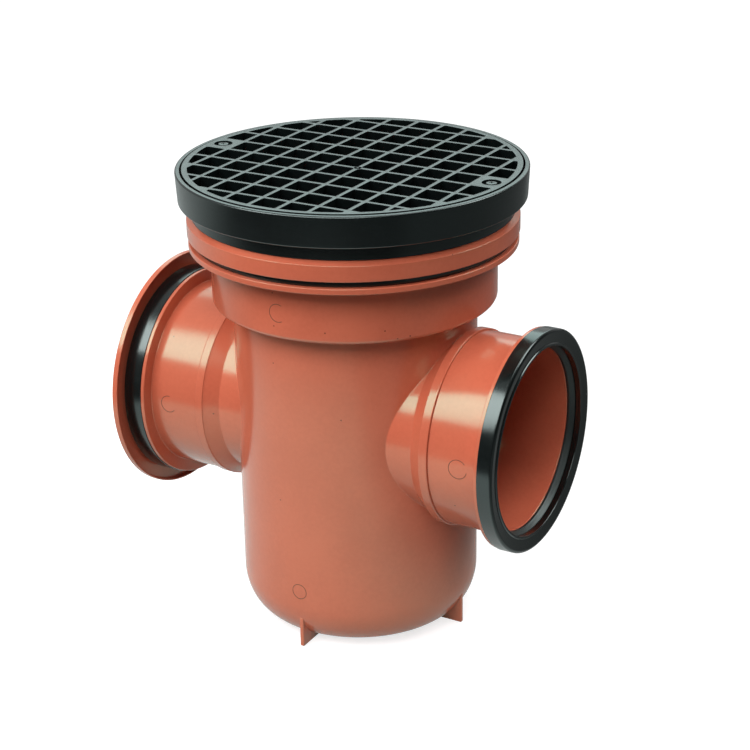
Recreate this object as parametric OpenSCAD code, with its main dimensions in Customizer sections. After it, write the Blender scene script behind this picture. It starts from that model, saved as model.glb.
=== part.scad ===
// Round gully trap: a sump with an inlet and an outlet socket, a riser that slides
// in the top socket, a framed grate and a dip pipe that holds the water seal.
// Millimetres. Z = 0 is the ground under the feet, the sump's axis is Z and both
// side sockets lie on X, with the outlet on +X.

/* [Pipes] */
// Outside diameter of the pipe that the inlet and the outlet take
side_pipe_d = 110; // [100:1:125]
// Outside diameter of the riser's spigot
top_pipe_d = 160; // [155:1:165]
// Wall of the riser's spigot
spigot_wall = 3.6; // [3:0.1:5]

/* [Tank] */
// Outside diameter of the tank
tank_d = 148; // [140:1:152]
// Wall of the tank and its necks
tank_wall = 3.6; // [3:0.1:4.5]
// Height of the tank's own shell, from its floor to its top end
tank_h = 206.8; // [190:0.1:240]
// Width of the rounded bottom edge
corner_w = 18; // [10:0.5:25]
// Height of the rounded bottom edge
corner_h = 25.5; // [15:0.5:35]
// Height of the foot fins below the tank's floor
foot_drop = 3.2; // [2:0.1:8]
// Thickness of a foot fin
foot_t = 2.6; // [2:0.1:5]
// Length of a foot fin, measured along the radius
foot_len = 28; // [20:1:40]
// How far a fin's outer edge stands in from the tank's side
foot_inset = 1; // [0.5:0.1:3]
// Number of foot fins
foot_count = 4; // [3:1:6]

/* [Necks] */
// Height of the inlet and outlet axis above the ground
neck_z = 136; // [125:1:145]
// How much narrower than the pipe the neck is
neck_drop = 2; // [0:0.5:4]
// How far the neck's end stands out from the tank's side
neck_out = 6.9; // [5:0.1:15]
// Length of the taper between the neck and its end collar
taper_len = 8.4; // [6:0.1:14]
// Length of the neck's end collar
collar_len = 5.5; // [2.5:0.1:8]
// How far the end collar stands out from the socket sleeve
collar_step = 1.1; // [0.5:0.1:2]

/* [Side sockets] */
// Wall of a side socket
side_socket_wall = 3.7; // [3:0.1:5]
// Length of a side socket's barrel, from the neck to its flange
side_barrel_len = 33.4; // [28:0.1:60]
// Thickness of the socket flanges
flange_t = 2.3; // [2:0.1:4]
// How far a side socket's flange stands out from its barrel
side_flange_w = 8.8; // [7.5:0.1:12]
// Wall of the short spigot that joins the socket to the neck
joint_wall = 1.7; // [1.2:0.1:2.5]
// Length of that spigot
joint_len = 4.7; // [3:0.1:6]

/* [Top socket] */
// Wall of the top socket
top_socket_wall = 5.7; // [4.5:0.1:7]
// Height of the top socket, from its underside to its flange's top
top_socket_h = 38.1; // [34:0.1:60]
// Thickness of the top socket's floor
top_floor_t = 4; // [3:0.1:6]
// Depth of the rebate in which the tank's top end is welded
rebate_d = 2; // [1:0.1:2.5]
// Radius of the top socket's bottom edge
top_edge_r = 2.5; // [1:0.1:4]
// Thickness of the top socket's flange
top_flange_t = 3.5; // [2.5:0.1:5]
// How far the top socket's flange stands out from its barrel
top_flange_w = 12.6; // [11:0.1:14]

/* [Snap rings and seals] */
// Height of the snap rings
ring_h = 9.3; // [7:0.1:12]
// Thickness of a snap ring's front face and outer wall
ring_wall = 2; // [1.5:0.1:3]
// Length of the hem that turns in round a ring's mouth
hem_len = 4.6; // [3:0.1:5.5]
// Thickness of that hem
hem_t = 1.5; // [1.2:0.1:2]
// Distance from a ring's outer edge to the groove in its front face
groove_inset = 2.7; // [2:0.1:4]
// Width of that groove
groove_w = 0.8; // [0.5:0.1:1.2]
// Depth of that groove
groove_d = 1.2; // [0.5:0.1:1.4]
// How far a side ring stands in from its flange's edge
side_ring_inset = 1.2; // [0.5:0.1:2]
// How far the top ring stands in from its flange's edge
top_ring_inset = 3.2; // [2.5:0.1:4]
// Clearance between a ring's mouth and the pipe
mouth_gap = 2.3; // [1.5:0.1:3]
// Length of the tongue that clips a ring to its flange
tongue_len = 1.2; // [0.8:0.1:1.5]
// Thickness of that tongue
tongue_t = 1.2; // [0.8:0.1:1.6]
// Rounding of a ring's front edges
ring_edge_r = 1; // [0.5:0.1:1.5]
// Thickness of a seal lip
lip_t = 1.6; // [1:0.1:2]

/* [Inlet plug] */
// Wall of the plug
plug_wall = 3.2; // [2.5:0.1:4]
// Outside diameter of the plug's flange
plug_flange_d = 153.4; // [140:0.1:165]
// Thickness of the plug's flange
plug_flange_t = 4.3; // [3:0.1:6]
// Gap between the plug's flange and the inlet ring
plug_stand = 2.2; // [1.5:0.1:4]
// Width of the shoulder that seats the plug on the inlet ring
plug_seat_w = 5; // [4:0.1:7]

/* [Riser] */
// Length of the spigot below the riser's shelf
spigot_len = 33; // [25:0.5:34]
// Length of the chamfer on the spigot's end
spigot_chamfer = 5; // [3:0.5:8]
// Thickness of the shelf that sits over the top ring
shelf_t = 3.5; // [2.5:0.1:5]
// Thickness of the skirt round the top ring
skirt_t = 3; // [2:0.1:4]
// How far the skirt hangs below the shelf
skirt_drop = 5.6; // [3:0.1:7]
// Height from the shelf's underside to the ridge on the skirt
ridge_h = 3.9; // [3.6:0.1:6]
// Height of the sloping shoulder above the ridge
shoulder_h = 3.9; // [2:0.1:6]
// Width of the sloping shoulder
shoulder_w = 6.2; // [4:0.1:8]
// Height of the neck, from the shelf's underside to its top
neck_h = 19.3; // [15:0.1:30]
// Wall of the neck
riser_wall = 3.2; // [2.5:0.1:4]

/* [Grate frame] */
// Height of the frame
frame_h = 18.6; // [16:0.1:24]
// Room between the riser's neck and the frame's bore
neck_room = 8.4; // [7:0.05:11]
// Wall of the frame
frame_wall = 3.1; // [2:0.05:4]
// Thickness of the ledge under the grate
ledge_t = 3; // [2.5:0.1:5]
// Depth of the skirt that locates the frame in the riser
locator_h = 12; // [6:0.5:15]
// Wall of the locating skirt
locator_wall = 2.8; // [2:0.1:3.5]
// Chamfer on the frame's edges
frame_chamfer = 0.9; // [0.3:0.1:1.2]
// How much the frame narrows from its top to its bottom
frame_draft = 1; // [0:0.1:1.5]

/* [Grate] */
// Depth of the grate
grate_h = 12; // [10:0.5:16]
// Gap between the grate and its frame
grate_gap = 0.8; // [0.5:0.05:2.5]
// How far the grate stands above the frame's rim
grate_rise = 0.4; // [0.1:0.1:1]
// Width of the grate's rim
grate_rim = 3.6; // [2:0.1:5]
// Number of cells from the middle cell to a screw's plate
cell_count = 5; // [4:1:7]
// Width of the bars between the cells
bar_w = 2.6; // [2:0.1:4]
// Thickness of the solid plates that take the screws
plate_t = 6; // [5:0.1:8]

/* [Grate screws] */
// How far a screw's axis stands in from the grate's edge
screw_inset = 9.1; // [8.5:0.1:10]
// Diameter of the screw head
head_d = 7; // [6:0.1:9]
// Thickness of the screw head
head_t = 2.3; // [1.8:0.1:2.7]
// Depth of the recess in which the head sits
recess_d = 3.2; // [2.5:0.1:4]
// Width of the cross slots in the head
slot_w = 1.2; // [0.8:0.1:1.6]
// Length of the cross slots
slot_len = 4.6; // [4:0.1:5.5]
// Depth of the cross slots
slot_d = 1.3; // [1:0.1:1.6]
// Direction of the cross slots, in degrees from the bars of the grate
slot_turn = 31; // [0:1:90]
// Diameter of the screw shank
shank_d = 4.6; // [3.5:0.1:5]
// Wall of the bosses that take the screws
boss_wall = 2.6; // [2:0.1:3]

/* [Trap] */
// Thickness of the rubber ring between the trap elbow and the neck
trap_seal_t = 2.7; // [2:0.1:4]
// Length of that rubber ring
trap_seal_len = 4; // [3:0.1:5]
// Wall of the trap elbow
trap_wall = 2.6; // [2:0.1:4]
// Depth of the water seal under the outlet's invert
water_seal = 48; // [40:1:50]
// Straight length inside the tank before the elbow bends
trap_run = 18.4; // [10:0.1:20]
// How much wider than the tube the elbow bends
bend_extra = 2.3; // [1:0.1:6]

/* [Clearances] */
// Between a socket's bore and the pipe in it
pipe_gap = 0.4; // [0.3:0.05:0.8]
// Between welded or clipped pieces
weld_gap = 0.1; // [0.05:0.01:0.2]
// Between the riser and the fixed pieces that it slides past
slide_gap = 0.3; // [0.2:0.05:0.6]
// Between the skirt of the riser and the top ring
skirt_gap = 0.7; // [0.5:0.1:1.5]
// Between the grate frame's locating skirt and the riser's neck
locator_gap = 0.3; // [0.2:0.05:0.6]
// Between a screw's shank and its holes
shank_gap = 0.1; // [0.05:0.01:0.3]
// Round a screw's head in its recess, for the driver
head_gap = 2.1; // [1.5:0.1:2.5]

/* [Hidden] */
$fn = 128;

terracotta = [0.72, 0.37, 0.28];
black_plastic = [0.10, 0.12, 0.12];
rubber = [0.06, 0.06, 0.06];

// Overlap that keeps cuts and joined solids from sharing a face
eps = 0.5;
corner_steps = 10;
arc_steps = 5;

// Radii of the pipes and of what takes them
side_pipe_r = side_pipe_d / 2;
top_pipe_r = top_pipe_d / 2;
side_bore_r = side_pipe_r + pipe_gap;
top_bore_r = top_pipe_r + pipe_gap;
side_out_r = side_bore_r + side_socket_wall;
top_out_r = top_bore_r + top_socket_wall;
side_flange_r = side_out_r + side_flange_w;
top_flange_r = top_out_r + top_flange_w;
side_ring_r = side_flange_r - side_ring_inset;
top_ring_r = top_flange_r - top_ring_inset;

// Tank
tank_r = tank_d / 2;
tank_bore_r = tank_r - tank_wall;
tank_top_z = foot_drop + tank_h;
foot_r = tank_r - foot_inset;

// Stations along the neck, measured from the tank's axis
neck_end = tank_r + neck_out;
collar_start = neck_end - collar_len;
taper_start = collar_start - taper_len;
neck_r = side_pipe_r - neck_drop / 2;
neck_bore_r = neck_r - tank_wall;
collar_r = side_out_r + collar_step;
joint_r = side_bore_r + joint_wall;
seat_start = neck_end - joint_len - weld_gap;
side_mouth = neck_end + side_barrel_len + flange_t;
ring_front = side_mouth + ring_h;
plug_back = ring_front + plug_stand;
plug_front = plug_back + plug_flange_t;

// Levels up the top socket and the riser
top_socket_z = tank_top_z - rebate_d;
top_mouth_z = top_socket_z + top_socket_h;
top_ring_z = top_mouth_z + ring_h;
shelf_z = top_ring_z + slide_gap;
ridge_z = shelf_z + ridge_h;
shoulder_z = ridge_z + shoulder_h;
riser_top_z = shelf_z + neck_h;
skirt_r = top_ring_r + skirt_gap + skirt_t;
riser_neck_r = skirt_r - shoulder_w;
riser_neck_bore_r = riser_neck_r - riser_wall;

// Frame and grate
frame_bore_r = riser_neck_r + neck_room;
frame_r = frame_bore_r + frame_wall;
frame_foot_r = frame_r - frame_draft;
grate_r = frame_bore_r - grate_gap;
locator_r = riser_neck_bore_r - locator_gap;
ledge_bore_r = locator_r - locator_wall;
grate_z = riser_top_z + ledge_t;
grate_top_z = grate_z + grate_h;
frame_top_z = grate_top_z - grate_rise;
frame_z = frame_top_z - frame_h;
open_r = grate_r - grate_rim;
plate_z = grate_top_z - plate_t;
screw_x = grate_r - screw_inset;
cell_pitch = screw_x / cell_count;
cell_w = cell_pitch - bar_w;

// Grate screws
recess_r = head_d / 2 + head_gap;
recess_z = grate_top_z - recess_d;
hole_r = shank_d / 2 + shank_gap;
boss_r = hole_r + boss_wall;
pilot_z = riser_top_z + ledge_t / 3;
screw_tip_z = pilot_z + ledge_t / 6;

// Trap elbow
trap_r = neck_bore_r - weld_gap - trap_seal_t;
trap_bead_r = neck_bore_r - weld_gap;
trap_bead_len = 1;
trap_end = seat_start - weld_gap;
bend_r = trap_r + bend_extra;
bend_start = tank_bore_r - trap_run;
dip_z = neck_z - neck_bore_r - water_seal;

// Points of an elliptical quarter from the floor to the side of a round vessel
function corner_points(r, z, w, h) =
    [for (i = [0:corner_steps])
        let (a = 90 * i / corner_steps)
        [r - w + w * sin(a), z + h - h * cos(a)]];

// Points of a rounded edge about its centre, turning from angle a to angle b
function arc_points(centre, r, a, b) =
    [for (i = [0:arc_steps])
        let (t = a + (b - a) * i / arc_steps)
        centre + r * [cos(t), sin(t)]];

// Front of a socket flange with the groove for the ring's tongue, going outwards
function flange_points(flange_r, ring_r, mouth, t) =
    let (groove_out = ring_r - tongue_t / 2 + weld_gap)
    let (groove_in = groove_out - tongue_t - 2 * weld_gap)
    let (groove_z = mouth - tongue_len - weld_gap)
    [[groove_in, mouth], [groove_in, groove_z], [groove_out, groove_z],
     [groove_out, mouth], [flange_r, mouth], [flange_r, mouth - t]];

// Turns the height of its child into the distance from the tank's axis
module on_neck(side) {
    translate([0, 0, neck_z])
        rotate([0, side * 90, 0])
            children();
}

module tank_shell() {
    rotate_extrude()
        polygon(concat(
            [[0, foot_drop]],
            corner_points(tank_r, foot_drop, corner_w, corner_h),
            [[tank_r, tank_top_z], [0, tank_top_z]]));
}

module tank_hollow() {
    inner_w = corner_w - tank_wall / 2;
    inner_h = corner_h - tank_wall / 2;
    rotate_extrude()
        polygon(concat(
            [[0, foot_drop + tank_wall]],
            corner_points(tank_bore_r, foot_drop + tank_wall, inner_w, inner_h),
            [[tank_bore_r, tank_top_z + eps], [0, tank_top_z + eps]]));
}

module foot_fins() {
    for (i = [0:foot_count - 1])
        rotate([0, 0, i * 360 / foot_count])
            translate([foot_r - foot_len, -foot_t / 2, 0])
                cube([foot_len, foot_t, foot_drop + corner_h / 2 + tank_wall]);
}

module neck_solid() {
    rotate_extrude()
        polygon([[0, 0], [neck_r, 0], [neck_r, taper_start],
                 [collar_r, collar_start], [collar_r, neck_end], [0, neck_end]]);
}

module neck_hollow() {
    cylinder(r = neck_bore_r, h = neck_end + eps);
    translate([0, 0, seat_start])
        cylinder(r = joint_r + weld_gap, h = neck_end - seat_start + eps);
}

module tank() {
    color(terracotta)
        difference() {
            union() {
                tank_shell();
                foot_fins();
                on_neck(1) neck_solid();
                on_neck(-1) neck_solid();
            }
            tank_hollow();
            on_neck(1) neck_hollow();
            on_neck(-1) neck_hollow();
        }
}

// Socket sleeve on a neck, with its mouth outwards
module side_socket(side) {
    color(terracotta)
        on_neck(side)
            rotate_extrude()
                polygon(concat(
                    [[side_bore_r, neck_end - joint_len], [side_bore_r, side_mouth]],
                    flange_points(side_flange_r, side_ring_r, side_mouth, flange_t),
                    [[side_out_r, side_mouth - flange_t], [side_out_r, neck_end],
                     [joint_r, neck_end], [joint_r, neck_end - joint_len]]));
}

module top_socket() {
    edge_centre = [top_out_r - top_edge_r, top_socket_z + top_edge_r];
    color(terracotta)
        rotate_extrude()
            polygon(concat(
                [[tank_bore_r, tank_top_z],
                 [tank_bore_r, top_socket_z + top_floor_t],
                 [top_bore_r, top_socket_z + top_floor_t],
                 [top_bore_r, top_mouth_z]],
                flange_points(top_flange_r, top_ring_r, top_mouth_z, top_flange_t),
                [[top_out_r, top_mouth_z - top_flange_t]],
                arc_points(edge_centre, top_edge_r, 0, -90),
                [[tank_r + weld_gap, top_socket_z], [tank_r + weld_gap, tank_top_z]]));
}

// Snap ring standing on a flange at height 0, with its hollow towards the flange
module snap_ring(pipe_r, ring_r) {
    mouth_r = pipe_r + mouth_gap;
    tongue_out = ring_r - tongue_t / 2;
    groove_r = ring_r - groove_inset;
    color(black_plastic)
        rotate_extrude()
            polygon(concat(
                [[mouth_r + hem_t, ring_h - ring_wall], [mouth_r + hem_t, ring_h - hem_len],
                 [mouth_r, ring_h - hem_len]],
                arc_points([mouth_r + ring_edge_r, ring_h - ring_edge_r], ring_edge_r, 180, 90),
                [[groove_r - groove_w, ring_h], [groove_r - groove_w, ring_h - groove_d],
                 [groove_r, ring_h - groove_d], [groove_r, ring_h]],
                arc_points([ring_r - ring_edge_r, ring_h - ring_edge_r], ring_edge_r, 90, 0),
                [[ring_r, 0], [tongue_out, 0], [tongue_out, -tongue_len],
                 [tongue_out - tongue_t, -tongue_len], [tongue_out - tongue_t, 0],
                 [ring_r - ring_wall, 0], [ring_r - ring_wall, ring_h - ring_wall]]));
}

// Rubber ring that fills a snap ring, with its lip pressed back by a pipe
module lip_seal(pipe_r, ring_r, lip_gap) {
    lip_r = pipe_r + lip_gap;
    mouth_r = pipe_r + mouth_gap;
    back_r = mouth_r + hem_t + weld_gap;
    out_r = ring_r - ring_wall - weld_gap;
    top = ring_h - ring_wall - weld_gap;
    lip_h = ring_h - hem_len - weld_gap;
    color(rubber)
        rotate_extrude()
            polygon([[out_r, weld_gap], [out_r, top], [back_r, top], [back_r, lip_h],
                     [mouth_r, lip_h], [lip_r, lip_t], [lip_r, weld_gap],
                     [lip_r + lip_t / 2, weld_gap], [back_r, lip_h - lip_t],
                     [back_r, weld_gap]]);
}

module top_ring() {
    translate([0, 0, top_mouth_z])
        snap_ring(top_pipe_r, top_ring_r);
}

module side_ring(side) {
    on_neck(side)
        translate([0, 0, side_mouth])
            snap_ring(side_pipe_r, side_ring_r);
}

module top_seal() {
    translate([0, 0, top_mouth_z])
        lip_seal(top_pipe_r, top_ring_r, slide_gap);
}

module outlet_seal() {
    on_neck(1)
        translate([0, 0, side_mouth])
            lip_seal(side_pipe_r, side_ring_r, pipe_gap);
}

module inlet_seal() {
    on_neck(-1)
        translate([0, 0, side_mouth])
            lip_seal(side_pipe_r, side_ring_r, weld_gap);
}

module inlet_plug() {
    inner_end = seat_start + joint_len / 2;
    seat_r = side_pipe_r + plug_seat_w;
    color(terracotta)
        on_neck(-1)
            rotate_extrude()
                polygon([[0, inner_end], [side_pipe_r - plug_wall, inner_end],
                         [side_pipe_r, inner_end + plug_wall], [side_pipe_r, ring_front],
                         [seat_r, ring_front], [seat_r, plug_back],
                         [plug_flange_d / 2, plug_back], [plug_flange_d / 2, plug_front],
                         [side_pipe_r - plug_wall, plug_front],
                         [side_pipe_r - plug_wall, inner_end + plug_wall],
                         [0, inner_end + plug_wall]]);
}

// Quarter bend from the outlet's axis down to the dip tube
module bend(r) {
    translate([bend_start, 0, neck_z - bend_r])
        rotate([90, 0, 180])
            rotate_extrude(angle = 90)
                translate([bend_r, 0])
                    circle(r = r);
}

module trap_tube(r, extra) {
    translate([bend_start, 0, neck_z])
        rotate([0, 90, 0])
            cylinder(r = r, h = trap_end - bend_start + extra);
    bend(r);
    translate([bend_start - bend_r, 0, dip_z - extra])
        cylinder(r = r, h = neck_z - bend_r - dip_z + extra);
}

module trap_elbow() {
    color(terracotta)
        difference() {
            union() {
                trap_tube(trap_r, 0);
                on_neck(1)
                    translate([0, 0, trap_end - trap_bead_len])
                        cylinder(r = trap_bead_r, h = trap_bead_len);
            }
            trap_tube(trap_r - trap_wall, eps);
        }
}

module trap_seal() {
    color(rubber)
        on_neck(1)
            translate([0, 0, trap_end - trap_bead_len - trap_seal_len])
                difference() {
                    cylinder(r = trap_r + trap_seal_t, h = trap_seal_len);
                    translate([0, 0, -eps])
                        cylinder(r = trap_r, h = trap_seal_len + 2 * eps);
                }
}

module riser() {
    spigot_z = shelf_z - spigot_len;
    spigot_bore_r = top_pipe_r - spigot_wall;
    skirt_z = shelf_z - skirt_drop;
    color(terracotta)
        rotate_extrude()
            polygon([[spigot_bore_r, spigot_z],
                     [top_pipe_r - spigot_wall / 2, spigot_z],
                     [top_pipe_r, spigot_z + spigot_chamfer],
                     [top_pipe_r, shelf_z],
                     [skirt_r - skirt_t, shelf_z],
                     [skirt_r - skirt_t, skirt_z],
                     [skirt_r, skirt_z],
                     [skirt_r, ridge_z],
                     [riser_neck_r, shoulder_z],
                     [riser_neck_r, riser_top_z],
                     [riser_neck_bore_r, riser_top_z],
                     [riser_neck_bore_r, shelf_z + shelf_t],
                     [spigot_bore_r, shelf_z + shelf_t]]);
}

module frame_section() {
    polygon([[frame_bore_r, frame_z],
             [frame_foot_r - frame_chamfer, frame_z],
             [frame_foot_r, frame_z + frame_chamfer],
             [frame_r, frame_top_z - frame_chamfer],
             [frame_r - frame_chamfer, frame_top_z],
             [frame_bore_r, frame_top_z],
             [frame_bore_r, grate_z],
             [ledge_bore_r, grate_z],
             [ledge_bore_r, riser_top_z - locator_h],
             [locator_r, riser_top_z - locator_h],
             [locator_r, riser_top_z],
             [frame_bore_r, riser_top_z]]);
}

module grate_frame() {
    color(black_plastic)
        difference() {
            union() {
                rotate_extrude() frame_section();
                for (side = [-1, 1])
                    translate([side * screw_x, 0, grate_z - ledge_t / 2])
                        cylinder(r = boss_r, h = plate_z - grate_z + ledge_t / 2);
            }
            for (side = [-1, 1])
                translate([side * screw_x, 0, pilot_z])
                    cylinder(r = hole_r, h = plate_z - pilot_z + eps);
        }
}

// True where a cell is wide enough inside the rim to be open
function is_open(i, j) =
    norm([max(abs(i) - 0.5, 0), max(abs(j) - 0.5, 0)] * cell_pitch + [bar_w, bar_w] / 2)
    < open_r - bar_w;

module cell(i, j, z, h) {
    translate([i * cell_pitch - cell_w / 2, j * cell_pitch - cell_w / 2, z])
        cube([cell_w, cell_w, h]);
}

module grate() {
    color(black_plastic)
        difference() {
            translate([0, 0, grate_z])
                cylinder(r = grate_r, h = grate_h);
            intersection() {
                translate([0, 0, grate_z - 2 * eps])
                    cylinder(r = open_r, h = grate_h + 4 * eps);
                union() {
                    for (i = [-cell_count:cell_count])
                        for (j = [-cell_count:cell_count])
                            if (is_open(i, j) && !(abs(i) == cell_count && j == 0))
                                cell(i, j, grate_z - eps, grate_h + 2 * eps);
                    for (side = [-1, 1])
                        cell(side * cell_count, 0, grate_z - eps, plate_z - grate_z + eps);
                }
            }
            for (side = [-1, 1])
                translate([side * screw_x, 0, 0]) {
                    translate([0, 0, recess_z])
                        cylinder(r = recess_r, h = recess_d + eps);
                    translate([0, 0, plate_z - eps])
                        cylinder(r = hole_r, h = plate_t);
                }
        }
}

module grate_screw() {
    difference() {
        union() {
            translate([0, 0, screw_tip_z])
                cylinder(d = shank_d, h = recess_z - screw_tip_z + head_t / 2);
            translate([0, 0, recess_z])
                cylinder(d = head_d, h = head_t);
        }
        for (turn = [0, 90])
            rotate([0, 0, slot_turn + turn])
                translate([-slot_len / 2, -slot_w / 2, recess_z + head_t - slot_d])
                    cube([slot_len, slot_w, slot_d + eps]);
    }
}

module grate_screws() {
    color(black_plastic)
        for (side = [-1, 1])
            translate([side * screw_x, 0, 0])
                grate_screw();
}

tank();
top_socket();
side_socket(1);  // outlet_socket
side_socket(-1);  // inlet_socket
top_ring();
side_ring(1);  // outlet_ring
side_ring(-1);  // inlet_ring
top_seal();
outlet_seal();
inlet_seal();
inlet_plug();
trap_elbow();
trap_seal();
riser();
grate_frame();
grate();
grate_screws();
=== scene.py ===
import math

import bmesh
import bpy
from mathutils import Matrix, Vector
from mathutils.geometry import tessellate_polygon


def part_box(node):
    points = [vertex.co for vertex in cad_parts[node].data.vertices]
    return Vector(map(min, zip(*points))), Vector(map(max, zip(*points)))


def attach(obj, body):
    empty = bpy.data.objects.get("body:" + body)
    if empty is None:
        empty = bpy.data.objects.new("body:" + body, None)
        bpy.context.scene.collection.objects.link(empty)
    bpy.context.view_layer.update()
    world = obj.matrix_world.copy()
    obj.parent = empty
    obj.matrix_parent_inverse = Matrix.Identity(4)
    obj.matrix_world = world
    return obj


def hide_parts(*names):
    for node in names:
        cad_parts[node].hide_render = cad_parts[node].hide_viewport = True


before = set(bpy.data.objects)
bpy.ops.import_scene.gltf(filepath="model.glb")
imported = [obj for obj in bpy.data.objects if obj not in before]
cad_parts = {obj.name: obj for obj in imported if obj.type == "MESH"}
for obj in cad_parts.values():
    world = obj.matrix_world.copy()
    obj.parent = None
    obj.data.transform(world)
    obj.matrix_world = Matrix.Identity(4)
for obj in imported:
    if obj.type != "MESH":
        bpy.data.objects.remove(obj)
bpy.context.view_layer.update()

MM = 0.001

# ---------------------------------------------------------------- sizes, in millimetres


def span(node):
    """Lowest and highest corners of a CAD node, in millimetres."""
    low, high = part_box(node)
    return low / MM, high / MM


_, TANK_HIGH = span("tank")
SOCKET_LOW, SOCKET_HIGH = span("outlet_socket")
_, RING_HIGH = span("outlet_ring")
PLUG_LOW, PLUG_HIGH = span("inlet_plug")
TOP_LOW, TOP_HIGH = span("top_socket")
_, TOP_RING_HIGH = span("top_ring")
RISER_LOW, RISER_HIGH = span("riser")
FRAME_LOW, FRAME_HIGH = span("grate_frame")
GRATE_LOW, GRATE_HIGH = span("grate")
SCREW_LOW, _ = span("grate_screws")

NECK_Z = (SOCKET_LOW.z + SOCKET_HIGH.z) / 2
TANK_R = TANK_HIGH.y
TANK_TOP = TANK_HIGH.z
NECK_END = TANK_HIGH.x
MOUTH = SOCKET_HIGH.x
FLANGE_R = SOCKET_HIGH.y
RING_R = RING_HIGH.y
RING_FRONT = RING_HIGH.x
RING_H = RING_FRONT - MOUTH
# The inlet ring is longer than the outlet ring so that its black reaches the plug; part of that
# length is a dark piece standing in for the shade in the gap before the plug.
PLUGGED_RING_H = RING_H + 3.8
SIDE_RING_R = RING_R + 0.8
SIDE_FLANGE_R = FLANGE_R - 0.9

PIPE_R = 55.0
BORE_R = 55.4
SLEEVE_R = 59.1
COLLAR_R = 60.2
NECK_R = 54.0
NECK_BORE_R = 50.4
JOINT_R = 57.1
WALL = 3.6
FLANGE_T = 2.3
COLLAR_LEN = 5.5
TAPER_LEN = 8.4
TANK_FLOOR = 3.2
CORNER_W = 18.0
CORNER_H = 25.5
GAP = 0.1
TOP_PIPE_R = 80.0
TOP_SLEEVE_R = 86.1


SCREW_X = GRATE_HIGH.x - 9.1
CELL_COUNT = 5
PITCH = SCREW_X / CELL_COUNT
BAR_W = 2.6
CELL_ROUND = 0.8
OPEN_R = GRATE_HIGH.x - 3.6
PLATE_Z = GRATE_HIGH.z - 6.0
RECESS_Z = GRATE_HIGH.z - 3.2
RECESS_R = 5.6

FINE_ROUND = 384
ROUND = 320
SMALL_ROUND = 48
TINY_ROUND = 32

# ---------------------------------------------------------------- shader kit


class Value:
    """One socket of a node tree, so that shader maths reads as plain sums."""

    def __init__(self, kit, socket):
        self.kit = kit
        self.socket = socket

    def maths(self, operation, first, second):
        return self.kit.node("ShaderNodeMath", {"operation": operation}, {0: first, 1: second})

    def __add__(self, other):
        return self.maths("ADD", self, other)

    def __radd__(self, other):
        return self.maths("ADD", other, self)

    def __sub__(self, other):
        return self.maths("SUBTRACT", self, other)

    def __rsub__(self, other):
        return self.maths("SUBTRACT", other, self)

    def __mul__(self, other):
        return self.maths("MULTIPLY", self, other)

    def __rmul__(self, other):
        return self.maths("MULTIPLY", other, self)

    def __gt__(self, other):
        return self.maths("GREATER_THAN", self, other)

    def __lt__(self, other):
        return self.maths("LESS_THAN", self, other)


class ShaderKit:
    """Adds nodes to the tree of one material or world."""

    def __init__(self, owner):
        owner.use_nodes = True
        self.tree = owner.node_tree
        self.tree.nodes.clear()

    def node(self, kind, settings=None, sockets=None, out=0):
        """New node with its settings, its sockets set or linked, and the output wanted."""
        made = self.tree.nodes.new(kind)
        for key, value in (settings or {}).items():
            setattr(made, key, value)
        for key, value in (sockets or {}).items():
            entry = made.inputs[key]
            if isinstance(value, Value):
                self.tree.links.new(value.socket, entry)
            else:
                entry.default_value = value
        return Value(self, made.outputs[out]) if made.outputs else None

    def mix(self, factor, low, high):
        """Colour between two colours."""
        return self.node("ShaderNodeMix", {"data_type": "RGBA"}, {0: factor, 6: low, 7: high}, 2)

    def between(self, value, low, high):
        """0 below low, 1 above high, smooth between."""
        settings = {"interpolation_type": "SMOOTHSTEP"}
        return self.node("ShaderNodeMapRange", settings, {0: value, 1: low, 2: high})

    def noise(self, place, scale, detail):
        """Soft clouds between 0 and 1."""
        sockets = {"Vector": place, "Scale": scale, "Detail": detail}
        return self.node("ShaderNodeTexNoise", None, sockets)

    def finish(self, shader):
        """Joins a shader to the material's output."""
        self.node("ShaderNodeOutputMaterial", None, {"Surface": shader})


CLOUD_SCALE = 22.0
MOTTLE_SCALE = 420.0
SHINE = 0.82


def moulded_plastic(name, light, dark, speck, roughness, grain, sheen, edge_round=0.0):
    """Moulded plastic: cloudy colour, dust specks, a fine skin grain and a tinted gloss."""
    material = bpy.data.materials.new(name)
    kit = ShaderKit(material)
    place = kit.node("ShaderNodeTexCoord", out=3)
    clouds = kit.noise(place, CLOUD_SCALE, 3.0)
    mottle = kit.noise(place, MOTTLE_SCALE, 2.0)
    skin = kit.noise(place, grain["scale"], 3.0)
    shade = kit.between(clouds * 0.7 + mottle * 0.3, 0.35, 0.65)
    colour = kit.mix(shade, (*dark, 1), (*light, 1))
    dust = kit.node("ShaderNodeTexVoronoi", None, {"Vector": place, "Scale": speck["scale"]})
    chance = kit.noise(place, speck["scale"] * 0.45, 0.0)
    dusty = (dust < speck["size"]) * (chance > speck["chance"])
    colour = kit.mix(dusty * speck["strength"], colour, (*speck["colour"], 1))
    rough = roughness + (clouds - 0.5) * grain["rough"] + (skin - 0.5) * grain["rough"]
    sockets = {"Strength": grain["bump"], "Distance": grain["depth"], "Height": skin}
    if edge_round:
        sockets["Normal"] = kit.node("ShaderNodeBevel", {"samples": 6}, {"Radius": edge_round})
    relief = kit.node("ShaderNodeBump", None, sockets)
    shader = kit.node(
        "ShaderNodeBsdfPrincipled",
        None,
        {
            "Base Color": colour,
            "Roughness": rough,
            "Specular IOR Level": SHINE,
            "Specular Tint": (*sheen, 1),
            "Normal": relief,
        },
    )
    kit.finish(shader)
    return material


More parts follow.
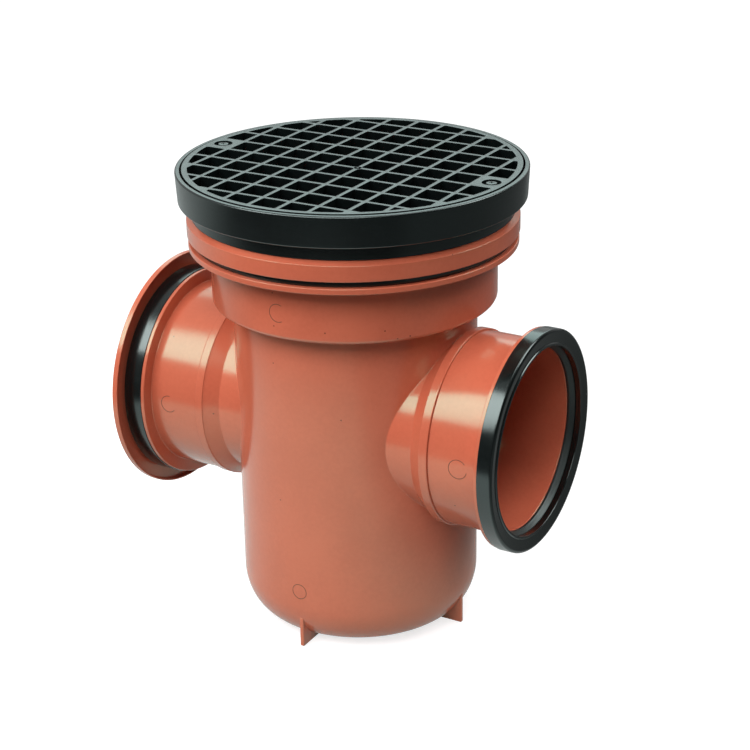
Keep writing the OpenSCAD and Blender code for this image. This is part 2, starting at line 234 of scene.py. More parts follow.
DUST = {
    "scale": 85.0,
    "size": 0.045,
    "chance": 0.6,
    "strength": 0.75,
    "colour": (0.06, 0.02, 0.015),
}
LINT = {
    "scale": 120.0,
    "size": 0.03,
    "chance": 0.62,
    "strength": 0.5,
    "colour": (0.15, 0.16, 0.15),
}
WARM_SHEEN = (0.28, 1.0, 0.74)
COOL_SHEEN = (0.84, 1.0, 0.97)
GLOSSY_SKIN = {"scale": 900.0, "rough": 0.05, "bump": 0.06, "depth": 0.0002}
TANK_EDGE_ROUND = 0.0008

TERRACOTTA_LOOK = (
    (0.62, 0.145, 0.079),
    (0.57, 0.129, 0.070),
    DUST,
    0.19,
    GLOSSY_SKIN,
    WARM_SHEEN,
)
TERRACOTTA = moulded_plastic("terracotta_plastic", *TERRACOTTA_LOOK)
TERRACOTTA_TANK = moulded_plastic("terracotta_tank_plastic", *TERRACOTTA_LOOK, TANK_EDGE_ROUND)
MARK = moulded_plastic(
    "mark_plastic",
    (0.09, 0.022, 0.014),
    (0.07, 0.017, 0.010),
    DUST,
    0.75,
    GLOSSY_SKIN,
    WARM_SHEEN,
)
RING_BLACK = moulded_plastic(
    "ring_plastic",
    (0.006, 0.008, 0.008),
    (0.004, 0.005, 0.005),
    LINT,
    0.17,
    {"scale": 1100.0, "rough": 0.05, "bump": 0.06, "depth": 0.0002},
    COOL_SHEEN,
)
GRATE_BLACK = moulded_plastic(
    "grate_plastic",
    (0.003, 0.005, 0.005),
    (0.002, 0.003, 0.003),
    LINT,
    0.23,
    {"scale": 1500.0, "rough": 0.08, "bump": 0.12, "depth": 0.0003},
    COOL_SHEEN,
)
RUBBER = moulded_plastic(
    "seal_rubber",
    (0.010, 0.012, 0.012),
    (0.006, 0.008, 0.008),
    LINT,
    0.48,
    {"scale": 1300.0, "rough": 0.08, "bump": 0.15, "depth": 0.0003},
    COOL_SHEEN,
)

# ---------------------------------------------------------------- mesh kit


def rounded(corners, steps=5):
    """Closed outline whose corners (r, h, radius) are rounded by short arcs."""
    outline = []
    count = len(corners)
    for i, (r, h, radius) in enumerate(corners):
        here = Vector((r, h))
        back = Vector(corners[i - 1][:2]) - here
        ahead = Vector(corners[(i + 1) % count][:2]) - here
        turn = back.angle(ahead, 0.0)
        if radius <= 0 or math.pi - turn < 0.02:
            outline.append(here)
            continue
        reach = radius / math.tan(turn / 2)
        limit = 0.49 * min(back.length, ahead.length)
        if reach > limit:
            radius *= limit / reach
            reach = limit
        start = here + back.normalized() * reach
        end = here + ahead.normalized() * reach
        middle = (back.normalized() + ahead.normalized()).normalized()
        centre = here + middle * (radius / math.sin(turn / 2))
        swing = (start - centre).angle_signed(end - centre, 0.0)
        for k in range(steps + 1):
            arm = start - centre
            arm.rotate(Matrix.Rotation(-swing * k / steps, 2))
            outline.append(centre + arm)
    return outline


def upright_at(x, y):
    """Way of turning an outline round an upright axis at x, y."""

    def way(r, angle, h):
        return x + r * math.cos(angle), y + r * math.sin(angle), h

    return way


upright = upright_at(0, 0)


def along_outlet(r, angle, h):
    """Way of turning an outline round the side sockets' axis, towards the outlet."""
    return h, r * math.cos(angle), NECK_Z + r * math.sin(angle)


def along_inlet(r, angle, h):
    """Way of turning an outline round the side sockets' axis, towards the inlet."""
    return -h, r * math.cos(angle), NECK_Z + r * math.sin(angle)


def mesh_from(name, kit):
    mesh = bpy.data.meshes.new(name)
    kit.to_mesh(mesh)
    kit.free()
    return mesh


def object_from(name, mesh, material):
    """Object in the scene, made of one material."""
    piece = bpy.data.objects.new(name, mesh)
    bpy.context.scene.collection.objects.link(piece)
    mesh.materials.clear()
    mesh.materials.append(material)
    return piece


def turned_mesh(name, outline, way, round_count):
    """Mesh of a closed outline turned round an axis; points on the axis close it."""
    mesh_kit = bmesh.new()
    rows = []
    for point in outline:
        r, h = point
        if r < 1e-6:
            rows.append([mesh_kit.verts.new(Vector(way(0, 0, h)) * MM)])
            continue
        angles = (2 * math.pi * k / round_count for k in range(round_count))
        rows.append([mesh_kit.verts.new(Vector(way(r, a, h)) * MM) for a in angles])
    for row, following in zip(rows, rows[1:] + rows[:1]):
        if len(row) == 1 and len(following) == 1:
            continue
        for k in range(round_count):
            corners = [
                row[k % len(row)],
                row[(k + 1) % len(row)],
                following[(k + 1) % len(following)],
                following[k % len(following)],
            ]
            corners = list(dict.fromkeys(corners))
            mesh_kit.faces.new(corners)
    bmesh.ops.recalc_face_normals(mesh_kit, faces=mesh_kit.faces)
    return mesh_from(name, mesh_kit)


def smooth(piece, sharp_degrees=28):
    """Smooth shading that keeps hard corners and leaves broad faces flat."""
    piece.data.shade_smooth()
    piece.data.set_sharp_from_angle(angle=math.radians(sharp_degrees))
    modifier = piece.modifiers.new("broad faces", "WEIGHTED_NORMAL")
    modifier.keep_sharp = True
    modifier.weight = 60
    apply_modifiers(piece)


def apply_modifiers(piece):
    """Leaves the piece as its modifiers show it."""
    shown = piece.evaluated_get(bpy.context.evaluated_depsgraph_get())
    mesh = bpy.data.meshes.new_from_object(shown)
    piece.modifiers.clear()
    piece.data = mesh


def turned(name, corners, way, material, round_count=ROUND):
    """Finished piece of an outline with rounded corners, turned round an axis."""
    piece = object_from(name, turned_mesh(name, rounded(corners), way, round_count), material)
    smooth(piece)
    return piece


def stands_for(piece, body, slot, *nodes):
    """Puts the piece on its body in place of the CAD nodes that it details."""
    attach(piece, body)
    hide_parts(*nodes)


def combine(target, others, operation):
    """Adds or cuts whole solids from the target."""
    for other in others:
        modifier = target.modifiers.new(operation, "BOOLEAN")
        modifier.operation = operation
        modifier.solver = "EXACT"
        modifier.object = other
        apply_modifiers(target)
        bpy.data.objects.remove(other)


# ---------------------------------------------------------------- tank


def corner_curve(r, floor, w, h, steps=20):
    """Elliptical bottom edge of the tank, from its floor to its side."""
    points = []
    for k in range(steps + 1):
        a = math.pi / 2 * k / steps
        points.append((r - w + w * math.sin(a), floor + h - h * math.cos(a), 0))
    return points


def make_tank():
    """Sump, foot fins and both necks in one solid, hollowed from the top and the sides."""
    outer = [(0, TANK_FLOOR, 0)]
    outer += corner_curve(TANK_R, TANK_FLOOR, CORNER_W, CORNER_H)
    outer += [(TANK_R, TANK_TOP, 0), (0, TANK_TOP, 0)]
    past_end = 2
    inner_r = TANK_R - WALL
    inner = [(0, TANK_FLOOR + WALL, 0)]
    inner += corner_curve(inner_r, TANK_FLOOR + WALL, CORNER_W - WALL / 2, CORNER_H - WALL / 2)
    inner += [(inner_r, TANK_TOP + past_end, 0), (0, TANK_TOP + past_end, 0)]
    collar_start = NECK_END - COLLAR_LEN
    inside_tank = 12
    neck = [
        (0, inside_tank, 0),
        (NECK_R, inside_tank, 0),
        (NECK_R, collar_start - TAPER_LEN, 0.6),
        (COLLAR_R - 0.4, collar_start, 0.1),
        (COLLAR_R, collar_start, 0.15),
        (COLLAR_R, NECK_END, 0.4),
        (0, NECK_END, 0),
    ]
    bore = [
        (0, inside_tank, 0),
        (NECK_BORE_R, inside_tank, 0),
        (NECK_BORE_R, SOCKET_LOW.x - GAP, 0.3),
        (JOINT_R + GAP, SOCKET_LOW.x - GAP, 0.1),
        (JOINT_R + GAP, NECK_END + past_end, 0),
        (0, NECK_END + past_end, 0),
    ]

    def solid(name, corners, way):
        mesh = turned_mesh(name, rounded(corners), way, FINE_ROUND)
        return object_from(name, mesh, TERRACOTTA_TANK)

    tank = solid("tank_body", outer, upright)
    fins = [foot_fin(k * math.pi / 2) for k in range(4)]
    necks = [solid("neck", neck, way) for way in (along_outlet, along_inlet)]
    combine(tank, fins + necks, "UNION")
    hollows = [solid("hollow", inner, upright)]
    hollows += [solid("bore", bore, way) for way in (along_outlet, along_inlet)]
    combine(tank, hollows, "DIFFERENCE")
    smooth(tank)
    stands_for(tank, "base", "terracotta_plastic", "tank")


def foot_fin(angle):
    """Thin radial foot under the rounded edge, with softened edges."""
    fin_out = TANK_R - 1
    fin_len = 28.0
    fin_t = 2.6
    fin_top = TANK_FLOOR + CORNER_H / 2 + WALL
    fin_round = 0.45
    kit = bmesh.new()
    bmesh.ops.create_cube(kit, size=1.0)
    middle = Vector((fin_out - fin_len / 2, 0, fin_top / 2)) * MM
    for vert in kit.verts:
        x, y, z = vert.co
        vert.co = Vector((x * fin_len, y * fin_t, z * fin_top)) * MM + middle
    edges = list(kit.edges)
    offset = fin_round * MM
    bmesh.ops.bevel(kit, geom=edges, offset=offset, segments=3, affect="EDGES", profile=0.5)
    turn = Matrix.Rotation(angle, 3, "Z")
    bmesh.ops.rotate(kit, verts=kit.verts, cent=(0, 0, 0), matrix=turn)
    return object_from("foot_fin", mesh_from("foot_fin", kit), TERRACOTTA_TANK)


# ---------------------------------------------------------------- sockets, rings and plug


def flange_front(flange_r, ring_r, mouth, thickness):
    """Front of a socket flange with the groove that the ring clips into."""
    groove_out = ring_r - 0.9
    groove_in = groove_out - 1.1
    groove_h = mouth - 1.3
    return [
        (groove_in, mouth, 0.2),
        (groove_in, groove_h, 0),
        (groove_out, groove_h, 0),
        (groove_out, mouth, 0.2),
        (flange_r, mouth, 0.5),
        (flange_r, mouth - thickness, 0.5),
    ]


def make_side_socket(name, way):
    """Sleeve over the end of a neck, with a flange at its mouth."""
    corners = [(BORE_R, SOCKET_LOW.x, 0.2), (BORE_R, MOUTH, 0.6)]
    corners += flange_front(SIDE_FLANGE_R, SIDE_RING_R, MOUTH, FLANGE_T)
    corners += [
        (SLEEVE_R, MOUTH - FLANGE_T, 0.5),
        (SLEEVE_R, NECK_END, 0.5),
        (JOINT_R, NECK_END, 0),
        (JOINT_R, SOCKET_LOW.x, 0.2),
    ]
    piece = turned(name + "_sleeve", corners, way, TERRACOTTA)
    stands_for(piece, "base", "terracotta_plastic", name)


def make_ring(name, pipe_r, ring_r, base, height, way):
    """Snap ring over a seal: outer wall, dished front and turned-in hem."""
    front = base + height
    mouth_r = pipe_r + 2.3
    wall = 2.0
    hem = 1.5
    hem_end = front - 4.6
    tongue_out = ring_r - 1.0
    corners = [
        (mouth_r + hem, front - wall, 0.3),
        (mouth_r + hem, hem_end, 0.3),
        (mouth_r, hem_end, 0.5),
        (mouth_r, front - 0.6, 0.5),
        (mouth_r + 1.3, front - 0.6, 0.3),
        (mouth_r + 1.8, front - 1.2, 0.3),
        (ring_r - 1.6, front, 1.5),
        (ring_r, front - 1.0, 1.2),
        (ring_r, base, 0.4),
        (tongue_out, base, 0),
        (tongue_out, base - 1.2, 0.3),
        (tongue_out - 0.9, base - 1.2, 0.3),
        (tongue_out - 0.9, base, 0),
        (ring_r - wall, base, 0.2),
        (ring_r - wall, front - wall, 0.3),
    ]
    piece = turned(name + "_cap", corners, way, RING_BLACK)
    stands_for(piece, "base", "black_plastic", name)


def make_seal(name, pipe_r, ring_r, lip_gap, base, way):
    """Rubber ring under a snap ring, with a lip that slopes in towards the pipe."""
    lip_r = pipe_r + lip_gap
    mouth_r = pipe_r + 2.3
    back_r = mouth_r + 1.6
    out_r = ring_r - 2.1
    top = base + RING_H - 2.1
    lip_h = base + RING_H - 4.7
    foot = base + GAP
    corners = [
        (out_r, foot, 0.3),
        (out_r, top, 0.3),
        (back_r, top, 0.2),
        (back_r, lip_h, 0.2),
        (mouth_r, lip_h, 0.4),
        (lip_r, base + 1.6, 0.4),
        (lip_r, foot, 0.3),
        (lip_r + 0.8, foot, 0.3),
        (back_r, lip_h - 1.6, 0.4),
        (back_r, foot, 0.2),
    ]
    piece = turned(name + "_lip", corners, way, RUBBER)
    stands_for(piece, "base", "seal_rubber", name)


def make_top_socket():
    """Wide sleeve on the tank's top, stepped out from the tank's wall."""
    bore_r = TOP_PIPE_R + 0.4
    flange_t = 3.5
    mouth = TOP_HIGH.z
    corners = [
        (TANK_R - WALL, TANK_TOP, 0),
        (TANK_R - WALL, TOP_LOW.z + 4, 0.5),
        (bore_r, TOP_LOW.z + 4, 1.5),
        (bore_r, mouth, 0.8),
    ]
    corners += flange_front(TOP_HIGH.x, TOP_RING_HIGH.x, mouth, flange_t)
    corners += [
        (TOP_SLEEVE_R, mouth - flange_t, 1.5),
        (TOP_SLEEVE_R, TOP_LOW.z, 2.5),
        (TANK_R + GAP, TOP_LOW.z, 0.2),
        (TANK_R + GAP, TANK_TOP, 0),
    ]
    piece = turned("top_sleeve", corners, upright, TERRACOTTA)
    stands_for(piece, "base", "terracotta_plastic", "top_socket")


def make_plug():
    """Blanking cup with a dished flange round its mouth."""
    inner_end = -PLUG_HIGH.x
    wall = 3.2
    seat_r = PIPE_R + 5
    seat = MOUTH + PLUGGED_RING_H
    back = RING_FRONT + 2.0
    front = -PLUG_LOW.x
    dish = front - 1.4
    edge = front - 1.1
    plug_r = PLUG_HIGH.y - 0.4
    corners = [
        (0, inner_end, 0),
        (PIPE_R - wall, inner_end, 0.6),
        (PIPE_R, inner_end + wall, 0.6),
        (PIPE_R, seat, 0.2),
        (seat_r, seat, 0.2),
        (seat_r, dish, 0.5),
        (plug_r - 1.3, dish, 0.8),
        (plug_r - 0.9, back, 0.3),
        (plug_r, back, 0.35),
        (plug_r, edge, 0.5),
        (plug_r - 2.0, front, 0.8),
        (PIPE_R - wall, front, 1.5),
        (PIPE_R - wall, inner_end + wall, 1.5),
        (0, inner_end + wall, 0),
    ]
    piece = turned("plug_cup", corners, along_inlet, TERRACOTTA)
    stands_for(piece, "base", "terracotta_plastic", "inlet_plug")


# ---------------------------------------------------------------- riser, frame and grate


def make_riser():
    """Spigot in the top socket, a skirt over its ring and a neck for the frame."""
    bore_r = 76.4
    shelf = TOP_RING_HIGH.z + 0.3
    skirt_r = RISER_HIGH.x
    neck_r = 93.0
    neck_bore = 89.8
    corners = [
        (bore_r, RISER_LOW.z, 0.5),
        (TOP_PIPE_R - 1.8, RISER_LOW.z, 0.5),
        (TOP_PIPE_R, RISER_LOW.z + 5, 0.8),
        (TOP_PIPE_R, shelf, 1.0),
        (skirt_r - 3, shelf, 0.5),
        (skirt_r - 3, shelf - 5.6, 0.5),
        (skirt_r, shelf - 5.6, 0.7),
        (skirt_r, shelf + 3.9, 0.5),
        (neck_r, shelf + 7.8, 1.5),
        (neck_r, RISER_HIGH.z, 0.4),
        (neck_bore, RISER_HIGH.z, 0.4),
        (neck_bore, shelf + 3.5, 1.0),
        (bore_r, shelf + 3.5, 0.8),
    ]
    piece = turned("riser_ring", corners, upright, TERRACOTTA)
    stands_for(piece, "riser", "terracotta_plastic", "riser")


def make_frame():
    """Ring that carries the grate, with two screw bosses and a black collar round the riser's
    neck; the collar is partly a locating collar and partly a dark piece standing in for the deep
    shade under the frame.
    """
    frame_r = FRAME_HIGH.x
    foot_r = frame_r - 1.0
    bore_r = GRATE_HIGH.x + 0.95
    ledge_r = 86.7
    locator_r = 89.5
    rim = FRAME_HIGH.z
    foot = rim - 18.6
    seat = RISER_HIGH.z
    # The collar reaches down the riser's shoulder: its black and the shade it casts stand in for
    # the deep shadow under the frame.
    shade_collar_in = 93.2
    shade_collar_out = 96.4
    shade_collar_foot = seat - 10.8
    shade_collar_toe = seat - 13.2
    corners = [
        (bore_r, foot, 0.4),
        (foot_r, foot, 0.9),
        (frame_r, rim, 1.1),
        (bore_r, rim, 0.25),
        (bore_r, GRATE_LOW.z, 0.5),
        (ledge_r, GRATE_LOW.z, 0.5),
        (ledge_r, FRAME_LOW.z, 0.4),
        (locator_r, FRAME_LOW.z, 0.4),
        (locator_r, seat + GAP, 0.1),
        (shade_collar_in, seat + GAP, 0.1),
        (shade_collar_in, shade_collar_foot, 0.2),
        (shade_collar_out, shade_collar_toe, 0.3),
        (shade_collar_out, seat, 0.5),
        (bore_r, seat, 0.5),
    ]
    piece = turned("frame_ring", corners, upright, GRATE_BLACK)
    stands_for(piece, "riser", "black_plastic", "grate_frame")
    boss_r, boss_bore_r, boss_foot = 5.0, 2.4, seat + 1
    corners = [
        (boss_bore_r, boss_foot, 0),
        (boss_r, boss_foot, 0),
        (boss_r, PLATE_Z, 0.3),
        (boss_bore_r, PLATE_Z, 0.3),
    ]
    for side, name in ((-1, "inlet_boss"), (1, "outlet_boss")):
        boss = turned(name, corners, upright_at(side * SCREW_X, 0), GRATE_BLACK, SMALL_ROUND)
        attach(boss, "riser")


# ---------------------------------------------------------------- grate cells


def is_open(i, j):
    """Whether the cell in column i and row j lies inside the rim."""
    near = [max(abs(n) - 0.5, 0) * PITCH + BAR_W / 2 for n in (i, j)]
    return math.hypot(*near) < OPEN_R - BAR_W


def cell_outline(i, j, grow):
    """Outline of a cell trimmed by the rim, grown outward by grow; always the same point count."""
    half = (PITCH - BAR_W) / 2 + grow
    rim = OPEN_R + grow
    x, y = i * PITCH, j * PITCH
    signs = ((-1, -1), (1, -1), (1, 1), (-1, 1))
    corners = [(x + sx * half, y + sy * half) for sx, sy in signs]
    inside = [math.hypot(*corner) < rim for corner in corners]
    outline = []
    for k in range(4):
        here, after = corners[k], corners[(k + 1) % 4]
        if inside[k]:
            outline.append((*here, CELL_ROUND))
        if inside[k] != inside[(k + 1) % 4]:
            outline.append((*crossing(here, after, rim), CELL_ROUND))
            if inside[k]:
                leave = len(outline)
    if not all(inside):
        start, end = outline[leave - 1], outline[leave % len(outline)]
        turn = math.atan2(start[1], start[0])
        sweep = (math.atan2(end[1], end[0]) - turn + math.pi) % (2 * math.pi) - math.pi
        arc = [turn + sweep * n / 6 for n in range(1, 6)]
        outline[leave:leave] = [(rim * math.cos(t), rim * math.sin(t), 0) for t in arc]
    return rounded(outline, 3)


def crossing(start, end, r):
    """Where the segment from start to end meets the circle of radius r."""
    start, end = Vector(start), Vector(end)
    along = end - start
    a, b, c = along.dot(along), start.dot(along), start.dot(start) - r * r
    root = math.sqrt(b * b - a * c)
    part = (-b - root) / a if 0 < (-b - root) / a < 1 else (-b + root) / a
    return start + along * part


def circle(x, r, points):
    """Points of a circle of radius r whose centre lies at x on the screws' line."""
    angles = (2 * math.pi * n / points for n in range(points))
    return [Vector((x + r * math.cos(t), r * math.sin(t))) for t in angles]


def add_wall(kit, levels):
    """Rows of points at several heights, joined by faces; returns the rows."""
    rows = [[kit.verts.new(Vector((x, y, z)) * MM) for x, y in row] for row, z in levels]
    for row, following in zip(rows, rows[1:]):
        count = len(row)
        for n in range(count):
            kit.faces.new([row[n], row[(n + 1) % count], following[(n + 1) % count], following[n]])
    return rows


def fill_between(kit, rows):
    """Flat face bounded by the first row, with the other rows as holes."""
    verts = [vert for row in rows for vert in row]
    loops = [[vert.co for vert in row] for row in rows]
    for triple in tessellate_polygon(loops):
        kit.faces.new([verts[n] for n in triple])


def make_grate():
    """Grate with softened top edges, drafted cells, screw plates and their recesses."""
    top, bottom = GRATE_HIGH.z, GRATE_LOW.z
    r = GRATE_HIGH.x - 0.15
    edge = ((0.25, 0.0), (0.07, 0.07), (0.0, 0.25))
    kit = bmesh.new()
    rim = [(circle(0, r - grow, ROUND), top - drop) for grow, drop in edge]
    rim += [(circle(0, r, ROUND), bottom + 0.6), (circle(0, r - 0.6, ROUND), bottom)]
    rows = add_wall(kit, rim)
    top_rows, bottom_rows = [rows[0]], [rows[-1]]
    cells = range(-CELL_COUNT, CELL_COUNT + 1)
    for i, j in ((i, j) for i in cells for j in cells if is_open(i, j)):
        if abs(i) == CELL_COUNT and j == 0:
            pocket = [(cell_outline(i, j, grow), z) for grow, z in ((0, PLATE_Z), (0.3, bottom))]
            rows = add_wall(kit, pocket)
            kit.faces.new(rows[0])
        else:
            levels = [(cell_outline(i, j, grow), top - drop) for grow, drop in edge]
            levels.append((cell_outline(i, j, 0.3), bottom))
            rows = add_wall(kit, levels)
            top_rows.append(rows[0])
        bottom_rows.append(rows[-1])
    for x in (-SCREW_X, SCREW_X):
        recess = [(circle(x, RECESS_R + grow, SMALL_ROUND), top - drop) for grow, drop in edge]
        rows = add_wall(kit, recess + [(circle(x, RECESS_R, SMALL_ROUND), RECESS_Z)])
        top_rows.append(rows[0])
        kit.faces.new(rows[-1])
    fill_between(kit, top_rows)
    fill_between(kit, bottom_rows)
    bmesh.ops.recalc_face_normals(kit, faces=kit.faces)
    grate = object_from("cell_grate", mesh_from("cell_grate", kit), GRATE_BLACK)

    at_crossing = upright_at(PITCH / 2, -PITCH / 2)
    groove_in, groove_out = 0.7, 2.35
    groove_floor = top - 1.4
    groove = rounded([
        (groove_in, groove_floor, 0),
        (groove_out, groove_floor, 0),
        (groove_out, top + 1, 0),
        (groove_in, top + 1, 0),
    ])
    groove_mesh = turned_mesh("mark_groove", groove, at_crossing, TINY_ROUND)
    cutter = object_from("mark_groove", groove_mesh, GRATE_BLACK)
    combine(grate, [cutter], "DIFFERENCE")
    smooth(grate, 40)
    stands_for(grate, "riser", "black_plastic", "grate")

    mark_floor = top - 1.45
    mark_foot = top - 4
    corners = [
        (0, top - 0.2, 0),
        (0.5, top - 0.2, 0.1),
        (0.6, mark_floor, 0.1),
        (2.4, mark_floor, 0.1),
        (2.4, top - 0.05, 0.1),
        (2.9, top - 0.05, 0.2),
        (2.9, mark_foot, 0.2),
        (0, mark_foot, 0),
    ]
    mark = turned("gate_mark", corners, at_crossing, GRATE_BLACK, TINY_ROUND)
    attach(mark, "riser")


def make_screws():
    """Pan-head screws with a cross recess, sunk in the grate's plates."""
    head_top = GRATE_HIGH.z - 0.15
    head_r = 3.2
    head_foot = RECESS_Z + 0.02
    shank_r, tip_r = 2.3, 1.6
    slot_turns = (121, 31)
    corners = [
        (0, head_top, 0),
        (head_r, head_top - 0.15, 0.35),
        (head_r, head_foot, 0.1),
        (shank_r, head_foot, 0),
        (shank_r, SCREW_LOW.z + 1, 0.3),
        (tip_r, SCREW_LOW.z, 0.2),
        (0, SCREW_LOW.z, 0),
    ]
    for x, name in ((-SCREW_X, "inlet_screw"), (SCREW_X, "outlet_screw")):
        mesh = turned_mesh(name, rounded(corners), upright_at(x, 0), SMALL_ROUND)
        screw = object_from(name, mesh, GRATE_BLACK)
        combine(screw, [cross_recess(x, head_top, turn) for turn in slot_turns], "DIFFERENCE")
        smooth(screw)
        stands_for(screw, "riser", "black_plastic", "grate_screws")


def cross_recess(x, top, degrees):
    """Tapered bar that cuts one slot of a cross recess."""
    slot_len, slot_w, slot_h = 4.2, 0.9, 2.6
    foot_share = 0.55
    kit = bmesh.new()
    bmesh.ops.create_cube(kit, size=1.0)
    for vert in kit.verts:
        narrow = 1.0 if vert.co.z > 0 else foot_share
        along_slot = vert.co.x * slot_len * narrow
        across_slot = vert.co.y * slot_w * narrow
        vert.co = Vector((along_slot, across_slot, vert.co.z * slot_h)) * MM
    turn = Matrix.Rotation(math.radians(degrees), 4, "Z")
    kit.transform(Matrix.Translation(Vector((x, 0, top)) * MM) @ turn)
    return object_from("cross_recess", mesh_from("cross_recess", kit), GRATE_BLACK)


# ---------------------------------------------------------------- witness marks


def ring_arc(name, x, z, surface, mark_r, start, end):
    """Shallow ridge of a round mould mark, laid on a curved surface."""
    kit = bmesh.new()
    width, height, root = 0.24, 0.10, -0.15
    profile = ((-width, root), (-width / 2, height), (width / 2, height), (width, root))
    steps = 48
    rows = []
    for n in range(steps + 1):
        t = math.radians(start + (end - start) * n / steps)
        row = []
        for across, rise in profile:
            reach = mark_r + across
            place = surface(x + reach * math.cos(t), z + reach * math.sin(t), rise)
            row.append(kit.verts.new(place * MM))
        rows.append(row)
    for row, following in zip(rows, rows[1:]):
        for n in range(len(profile)):
            m = (n + 1) % len(profile)
            kit.faces.new([row[n], row[m], following[m], following[n]])
    kit.faces.new(rows[0])
    kit.faces.new(rows[-1])
    bmesh.ops.recalc_face_normals(kit, faces=kit.faces)
    mark = object_from(name, mesh_from(name, kit), MARK)
    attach(mark, "base")


def on_upright(r):
    """Drops x and z onto an upright cylinder of radius r, facing the front."""

    def drop(x, z, rise):
        angle = -math.pi / 2 + x / r
        reach = r + rise
        return Vector((reach * math.cos(angle), reach * math.sin(angle), z))

    return drop


def on_barrel(r):
    """Drops x and z onto a side socket's barrel of radius r, facing the front."""

    def drop(x, z, rise):
        angle = (z - NECK_Z) / r
        reach = r + rise
        return Vector((x, -reach * math.cos(angle), NECK_Z + reach * math.sin(angle)))

    return drop


def make_marks():
    """Round marks that the moulds leave on the front of the base."""
    barrel = on_barrel(SLEEVE_R)
    ring_arc("tank_mark", 0, 38.6, on_upright(TANK_R), 4.8, 0, 360)
    ring_arc("top_mark", 0, 223.8, on_upright(TOP_SLEEVE_R), 5.4, 60, 300)
    ring_arc("outlet_mark", 100.5, NECK_Z + 1, barrel, 5.8, 40, 350)
    ring_arc("inlet_mark", -101.3, NECK_Z + 0.8, barrel, 5.3, 80, 320)


# ---------------------------------------------------------------- stage

CAMERA_PLACE = (0.5467, -0.9122, 0.5980)
CAMERA_TURN = (67.33, 0.98, 29.93)
CAMERA_LENS = 89.76
SENSOR_WIDTH = 36.0
AIM = Vector((0, 0, 0.15))
WHITE = (1, 1, 1, 1)
PALE = (0.44, 0.44, 0.44, 1)
DIM = (0.04, 0.04, 0.04, 1)
COOL_WHITE = (0.82, 1.0, 0.97, 1)
FLOOR_HALF = 7.0


def make_camera():
    """Camera at the place and angle that the grate's lattice gives."""
    data = bpy.data.cameras.new("camera")
    data.lens = CAMERA_LENS
    data.sensor_width = SENSOR_WIDTH
    camera = bpy.data.objects.new("camera", data)
    camera.location = CAMERA_PLACE
    camera.rotation_euler = [math.radians(a) for a in CAMERA_TURN]
    bpy.context.scene.collection.objects.link(camera)
    bpy.context.scene.camera = camera


def softbox(name, azimuth, elevation, distance, size, radiance, tint=(1.0, 1.0, 1.0)):
    """Rectangular lamp that faces the object; angles in degrees, sizes in metres."""
    data = bpy.data.lights.new(name, "AREA")
    data.shape = "RECTANGLE"
    data.size, data.size_y = size
    data.energy = radiance * math.pi * size[0] * size[1]
    data.color = tint
    lamp = bpy.data.objects.new(name, data)
    az, el = math.radians(azimuth), math.radians(elevation)
    direction = Vector((math.cos(az) * math.cos(el), math.sin(az) * math.cos(el), math.sin(el)))
    lamp.location = AIM + direction * distance
    lamp.rotation_euler = (-direction).to_track_quat("-Z", "Y").to_euler()
    bpy.context.scene.collection.objects.link(lamp)


def seen_background(kit):
    """1 for rays from the camera, and 1 for rays off gloss or through glass."""
    path = kit.tree.nodes.new("ShaderNodeLightPath")
    camera_ray, glossy_ray, clear_ray = (
        Value(kit, path.outputs[ray])
        for ray in ("Is Camera Ray", "Is Glossy Ray", "Is Transmission Ray")
    )
    return camera_ray, glossy_ray + clear_ray


def along(kit, place, way):
    """How far a place lies in a direction."""
    settings = {"operation": "DOT_PRODUCT"}
    return kit.node("ShaderNodeVectorMath", settings, {0: place, 1: way}, 1)


def behind(kit, place, low, high):
    """0 on the lamps' side of the studio, 1 on the pale far side."""
    return kit.between(along(kit, place, (-0.866, 0.500, 0.0)), low, high)


def make_floor():
    """Floor that shows white, pale near the object and on the far side, dim elsewhere; on the
    right-behind side it is darker, a painted shadow of the object in its colour and in the glow
    that reflections show.
    """
    corners = [(x, y, 0) for x, y in ((-1, -1), (1, -1), (1, 1), (-1, 1))]
    mesh = bpy.data.meshes.new("floor")
    mesh.from_pydata([Vector(corner) * FLOOR_HALF for corner in corners], [], [(0, 1, 2, 3)])
    material = bpy.data.materials.new("pale_floor")
    kit = ShaderKit(material)
    camera_ray, mirrored_ray = seen_background(kit)
    place = kit.node("ShaderNodeTexCoord", out=3)
    distance = kit.node("ShaderNodeVectorMath", {"operation": "LENGTH"}, {0: place}, 1)
    far = kit.between(distance, 0.42, 0.60)
    pale = 1 - far * (1 - 0.65 * behind(kit, place, 0.15, 0.75))
    # Painted shadow: the floor on the object's right-behind side is made darker, in its colour and
    # in its glow. Past the outlet it is darker too.
    painted_shadow_side = kit.between(along(kit, place, (0.574, 0.819, 0.0)), 0.0, 0.2)
    pale = pale + painted_shadow_side * (0.24 - pale)
    outlet_side = kit.between(along(kit, place, (0.985, 0.174, 0.0)), 0.1, 0.24)
    pale = pale * (1 - 0.6 * outlet_side)
    matt = kit.node("ShaderNodeBsdfDiffuse", None, {"Color": kit.mix(pale, DIM, PALE)})
    lift = 1 - 0.25 * pale * (1 - kit.between(distance, 0.25, 0.9))
    strength = lift * camera_ray + 0.39 * mirrored_ray * pale
    tint = kit.mix(mirrored_ray, WHITE, COOL_WHITE)
    glow = kit.node("ShaderNodeEmission", None, {"Color": tint, "Strength": strength})
    kit.finish(kit.node("ShaderNodeAddShader", None, {0: matt, 1: glow}))
    object_from("floor", mesh, material)


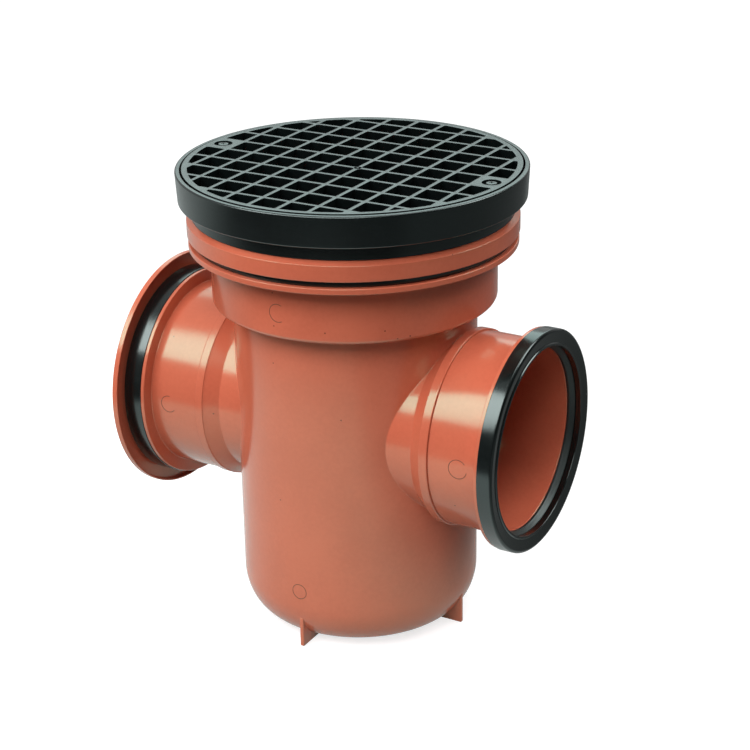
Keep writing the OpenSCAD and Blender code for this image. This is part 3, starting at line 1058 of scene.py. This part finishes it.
def make_studio():
    """White to the camera; to the object, a weak light with a paler wall on the far side."""
    world = bpy.data.worlds.new("studio")
    bpy.context.scene.world = world
    kit = ShaderKit(world)
    camera_ray, mirrored_ray = seen_background(kit)
    wall = behind(kit, kit.node("ShaderNodeTexCoord", out=0), -0.1, 0.5)
    level = 0.03 + wall * (0.13 + 0.34 * mirrored_ray)
    strength = level + camera_ray * (1.0 - level)
    background = kit.node("ShaderNodeBackground", None, {"Color": WHITE, "Strength": strength})
    kit.node("ShaderNodeOutputWorld", None, {"Surface": background})


def make_lamps():
    """Two soft lamps from the front, with weaker ones above, at the right and behind."""
    softbox("side_softbox", -129, 41, 2.6, (1.3, 1.55), 6.5)
    softbox("front_softbox", -78, 47, 2.2, (1.7, 1.1), 6.0)
    softbox("high_softbox", 60, 76, 2.2, (1.4, 1.4), 2.6)
    softbox("right_softbox", 40, 42, 2.2, (1.1, 1.1), 6.5)
    softbox("back_softbox", 115, 32, 2.6, (2.2, 1.2), 1.6, (0.76, 1.0, 0.97))


# ---------------------------------------------------------------- putting it together

make_camera()
make_tank()
make_side_socket("outlet_socket", along_outlet)
make_side_socket("inlet_socket", along_inlet)
make_ring("outlet_ring", PIPE_R, SIDE_RING_R, MOUTH, RING_H, along_outlet)
make_ring("inlet_ring", PIPE_R, SIDE_RING_R, MOUTH, PLUGGED_RING_H, along_inlet)
make_seal("outlet_seal", PIPE_R, RING_R, 0.4, MOUTH, along_outlet)
make_seal("inlet_seal", PIPE_R, RING_R, 0.1, MOUTH, along_inlet)
make_ring("top_ring", TOP_PIPE_R, TOP_RING_HIGH.x, TOP_HIGH.z, RING_H, upright)
make_seal("top_seal", TOP_PIPE_R, TOP_RING_HIGH.x, 0.3, TOP_HIGH.z, upright)
make_top_socket()
make_plug()
make_riser()
make_frame()
make_grate()
make_screws()
make_marks()
for node, material in (("trap_elbow", TERRACOTTA), ("trap_seal", RUBBER)):
    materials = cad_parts[node].data.materials
    materials.clear()
    materials.append(material)
make_floor()
make_studio()
make_lamps()

scene = bpy.context.scene
scene.view_settings.view_transform = "Standard"
